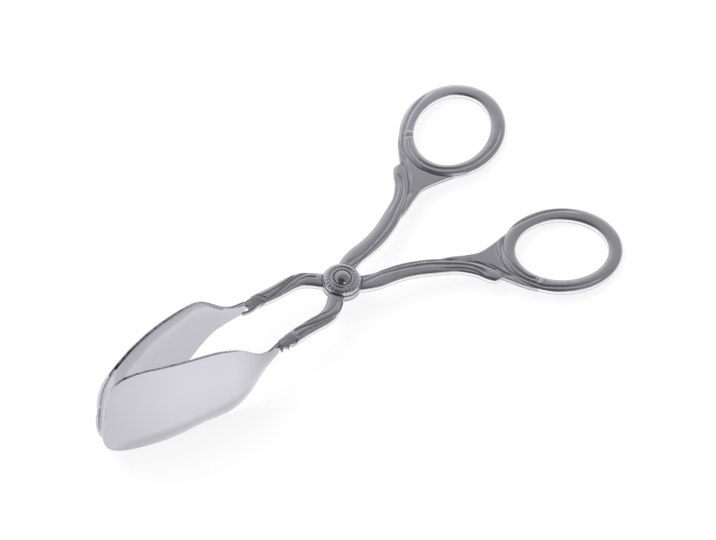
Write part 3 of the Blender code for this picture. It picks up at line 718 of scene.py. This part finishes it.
def mirror_polish():
    """Polished sheet metal: nearly a mirror, with a faint cloud of buffing marks. The outside has
    painted shade, standing in for dark reflections, at the neck, along a soft band below, and
    towards the end. The inside is painted a little darker than the outside, and the rolled
    upper rim has a painted dark reflection inside, most of all towards the end."""
    finish = Finish("mirror_polish", Metallic=1.0)
    along, low, outer = (finish.carried(name) for name in ("along", "low", "outer"))
    cloud = finish.noise(60)
    brushed = finish.noise(1500, detail=2, stretch=(0.2, 1.0, 1.0))
    # Painted shade on the outside, standing in for dark reflections: at the neck, in a soft band
    # below, and towards the end.
    neck = 1.0 - finish.step(along, 0.08, 0.36)
    belly = finish.step(low - along * 0.8 + cloud * 0.2, -0.18, 0.26)
    belly = belly * (1.0 - finish.step(low, 0.60, 0.95) * 0.3)
    painted_end_shade = finish.step(along, 0.60, 1.0) * 0.5
    dull = neck.math("MAXIMUM", belly).math("MAXIMUM", painted_end_shade) * outer * (0.75 + cloud * 0.3)
    # Painted dark reflection inside the rolled upper rim.
    rim = finish.step(finish.carried("rim"), 0.2, 0.45)
    rim = rim * (finish.step(along, 0.2, 1.0) * 0.5 + 0.45)
    # The inside is painted a little darker than the outside.
    bright = finish.blend(outer, grey(0.60), grey(0.665))
    bright = finish.blend(rim, bright, grey(0.04))
    finish.feed(Base_Color=finish.blend(dull, bright, grey(0.44)),
                Roughness=cloud * 0.08 + brushed * 0.04 + 0.10)
    finish.relief(cloud, 0.03 * MM)
    return finish.material


blade_metal = mirror_polish()
for node_name, side, body in (("front_blade", -1, "lower_half"), ("rear_blade", 1, "upper_half")):
    blade = scoop(node_name + "_scoop", side)
    blade.data.materials.append(blade_metal)
    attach(blade, body)
    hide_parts(node_name)

# The rosette
# A turned and chased washer under the screw's head: upright rim, a row of petals, a groove,
# an inner ring, and a well that the head sits in.

PETALS = 26
PETAL_DEEP = 0.12 * MM
rosette_profile = MM * np.array([
    (1.8, 0.75), (3.05, 0.75), (3.05, 1.40), (3.15, 1.53), (3.35, 1.6), (3.75, 1.6), (3.95, 1.53),
    (4.1, 1.33), (4.25, 1.2), (4.4, 1.2), (4.55, 1.33), (4.7, 1.49), (4.95, 1.53), (5.25, 1.47),
    (5.55, 1.35), (5.85, 1.15), (6.1, 0.92), (6.25, 0.65), (6.32, 0.35), (6.38, -0.3),
    (6.7, -0.42), (6.8, -0.55), (6.8, -1.0), (6.65, -1.14), (1.8, -1.14)])


def rosette_rows():
    """The profile turned about the pivot axis. Where the petals lie it falls by 0.12 mm times
    1 - |cos| of half the petal count times the turn, which makes a sharp line between them."""
    sides = PETALS * 12
    rows = turned(rosette_profile, sides)
    turns = np.linspace(0, 2 * math.pi, sides, endpoint=False)
    radius, height = rosette_profile.T / MM
    inner = np.clip((radius - 4.6) / 0.5, 0, 1)
    outer = np.clip((6.3 - radius) / 0.15, 0, 1)
    band = inner * outer * (height > 0.4)
    rows[:, :, 2] -= PETAL_DEEP * band[:, None] * (1 - np.abs(np.cos(turns * PETALS / 2)))
    return rows


chased = skin("rosette_chased", laid(rosette_rows()), around=True, along=True)
rosette = held("rosette_chased", chased)
smooth(rosette.data, 40)
rosette.data.materials.append(casting_metal)
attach(rosette, "lower_half")
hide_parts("rosette")

# The pivot screw
# Domed, polished head in the rosette's well, and a plain shank through everything below it.

HEAD_RADIUS = 2.92              # millimetres, as the other two
HEAD_SEAT = 1.15                # above the crown of the arms
HEAD_HIGH = 1.7
dome = np.radians(np.linspace(5, 90, 16))
head = np.column_stack([HEAD_RADIUS * np.sin(dome), HEAD_SEAT + HEAD_HIGH * np.cos(dome)])
shank = [(1.5, HEAD_SEAT), (1.5, -6.6), (1.2, -6.9)]
screw_rows = turned(np.vstack([head, shank]) * MM)
domed = skin("pivot_screw_domed", laid(screw_rows), around=True, capped=True)
screw = held("pivot_screw_domed", domed)
smooth(screw.data, 40)


def polished_head():
    """Polished steel of the screw, a little darker than the scoops."""
    finish = Finish("polished_head", Metallic=1.0)
    cloud = finish.noise(500, detail=2)
    finish.feed(Base_Color=finish.blend(cloud, grey(0.52), grey(0.44)),
                Roughness=cloud * 0.06 + 0.06)
    finish.relief(cloud, 0.03 * MM)
    return finish.material


screw.data.materials.append(polished_head())
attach(screw, "lower_half")
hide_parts("pivot_screw")

# Washer and nut on the back
# Plain steel hardware as packed, with the dull, faintly uneven look of machined steel.


def machined_steel():
    """Machined steel, left as it came off the lathe."""
    finish = Finish("machined_steel", Metallic=1.0)
    cloud = finish.noise(400)
    finish.feed(Base_Color=finish.blend(cloud, grey(0.56), grey(0.40)),
                Roughness=cloud * 0.20 + 0.25)
    finish.relief(finish.noise(2500, detail=2), 0.03 * MM)
    return finish.material


steel = machined_steel()
for hardware in ("back_washer", "pivot_nut"):
    frame["nodes"][hardware].data.materials.clear()
    frame["nodes"][hardware].data.materials.append(steel)

# Table, light and camera
# A white table without an edge, in a light tent that metal sees as white low down, grey above
# and to the sides, and darkest overhead and behind the camera. Two bright windows light up
# polished walls, while upward faces stay darker. One soft lamp adds the shadow.

TABLE_HALF = 3.0
corners = [[(x, y, 0.0) for x in (-TABLE_HALF, TABLE_HALF)] for y in (-TABLE_HALF, TABLE_HALF)]
table = held("table", skin("table", corners))
white_table = Finish("white_table", Base_Color=(0.80, 0.80, 0.80, 1.0), Roughness=1.0)


def seen_rays(bench):
    """1 for camera, glossy and transmission rays, and 0 for the light on the object."""
    rays = [bench.node("LightPath", {}, name)
            for name in ("Is Camera Ray", "Is Glossy Ray", "Is Transmission Ray")]
    return rays[0].math("MAXIMUM", rays[1]).math("MAXIMUM", rays[2])


painted = Wire(white_table.shader.outputs["BSDF"])
glow = white_table.node("Emission", {}, Color=(1, 1, 1, 1), Strength=1.15)
mixed = white_table.node("MixShader", {}, Fac=seen_rays(white_table) * 0.72)
plug(mixed.socket.node.inputs[1], painted)
plug(mixed.socket.node.inputs[2], glow)
plug(white_table.tree.nodes["Material Output"].inputs["Surface"], mixed)
table.data.materials.append(white_table.material)

AZIMUTH, ELEVATION, ROLL = -0.7642, 0.9356, 0.1484      # to the plane of the levers
EYE_AWAY = 1466.67 * MM
AIM_RIGHT = 5.40 * MM           # from the pivot to the middle of the picture
AIM_UP = 4.11 * MM
AIM_SUNK = 1.3 * MM             # below the crown of the arms
backward = np.array([math.sin(AZIMUTH) * math.cos(ELEVATION),
                     -math.cos(AZIMUTH) * math.cos(ELEVATION),
                     math.sin(ELEVATION)])
across = np.array([math.cos(AZIMUTH), math.sin(AZIMUTH), 0.0])
steep = np.cross(backward, across)
right_way = math.cos(ROLL) * across + math.sin(ROLL) * steep
up_way = math.cos(ROLL) * steep - math.sin(ROLL) * across
aim = EYE_AWAY * backward + AIM_RIGHT * right_way + AIM_UP * up_way
eye = laid(aim - (0, 0, AIM_SUNK))
axes = np.column_stack([right_way @ lying, up_way @ lying, backward @ lying])
lens = bpy.data.cameras.new("camera")
lens.sensor_width = 36.0
lens.lens = 221.2
lens.clip_end = 100.0
camera = bpy.data.objects.new("camera", lens)
camera.matrix_world = Matrix.Translation(eye) @ Matrix(axes.tolist()).to_4x4()
bpy.context.collection.objects.link(camera)
bpy.context.scene.camera = camera

tent = bpy.data.worlds.new("light_tent")
tent.use_nodes = True
sky = Bench(tent.node_tree)
direction = sky.node("TexCoord", {}, "Generated")
aside, far, rise = (sky.node("SeparateXYZ", {}, axis, Vector=direction) for axis in "XYZ")
near = aside * -0.69 - far * 0.72
overhead = rise * 0.94 + near * 0.34
to_right = aside * 0.72 - far * 0.69
behind_camera = sky.step(near * 0.9 + rise * 0.45, 0.52, 0.80)
dark = sky.step(overhead, 0.76, 0.93).math("MAXIMUM", behind_camera)
windows = [sky.step(aside * x + far * y + rise * z, 0.965, 0.985)
           for x, y, z in ((-0.11, -0.926, 0.36), (-0.956, 0.09, 0.28))]
gloss_level = (0.95 - sky.step(overhead + to_right * 0.48, 0.10, 0.57) * 0.50
               - sky.step(to_right * -1.0, 0.3, 0.8) * 0.18 - dark * 0.32
               + (windows[0] + windows[1]) * 2.0)
glossy, seen = (sky.node("LightPath", {}, name) for name in ("Is Glossy Ray", "Is Camera Ray"))
strength = glossy * gloss_level + seen + (1.0 - glossy - seen) * 0.72
shown = sky.node("Background", {}, Strength=strength)
plug(tent.node_tree.nodes["World Output"].inputs["Surface"], shown)
bpy.context.scene.world = tent

lamp = bpy.data.lights.new("soft_lamp", "AREA")
lamp.shape = "SQUARE"
lamp.size = 0.9
lamp.energy = 9.0
hung = bpy.data.objects.new("soft_lamp", lamp)
hung.matrix_world = (Matrix.Translation((-0.25, 0.55, 1.15)) @ Matrix.Rotation(-0.45, 4, "X")
                     @ Matrix.Rotation(-0.2, 4, "Y"))
hung.visible_glossy = False
bpy.context.collection.objects.link(hung)

bpy.context.scene.view_settings.view_transform = "Standard"
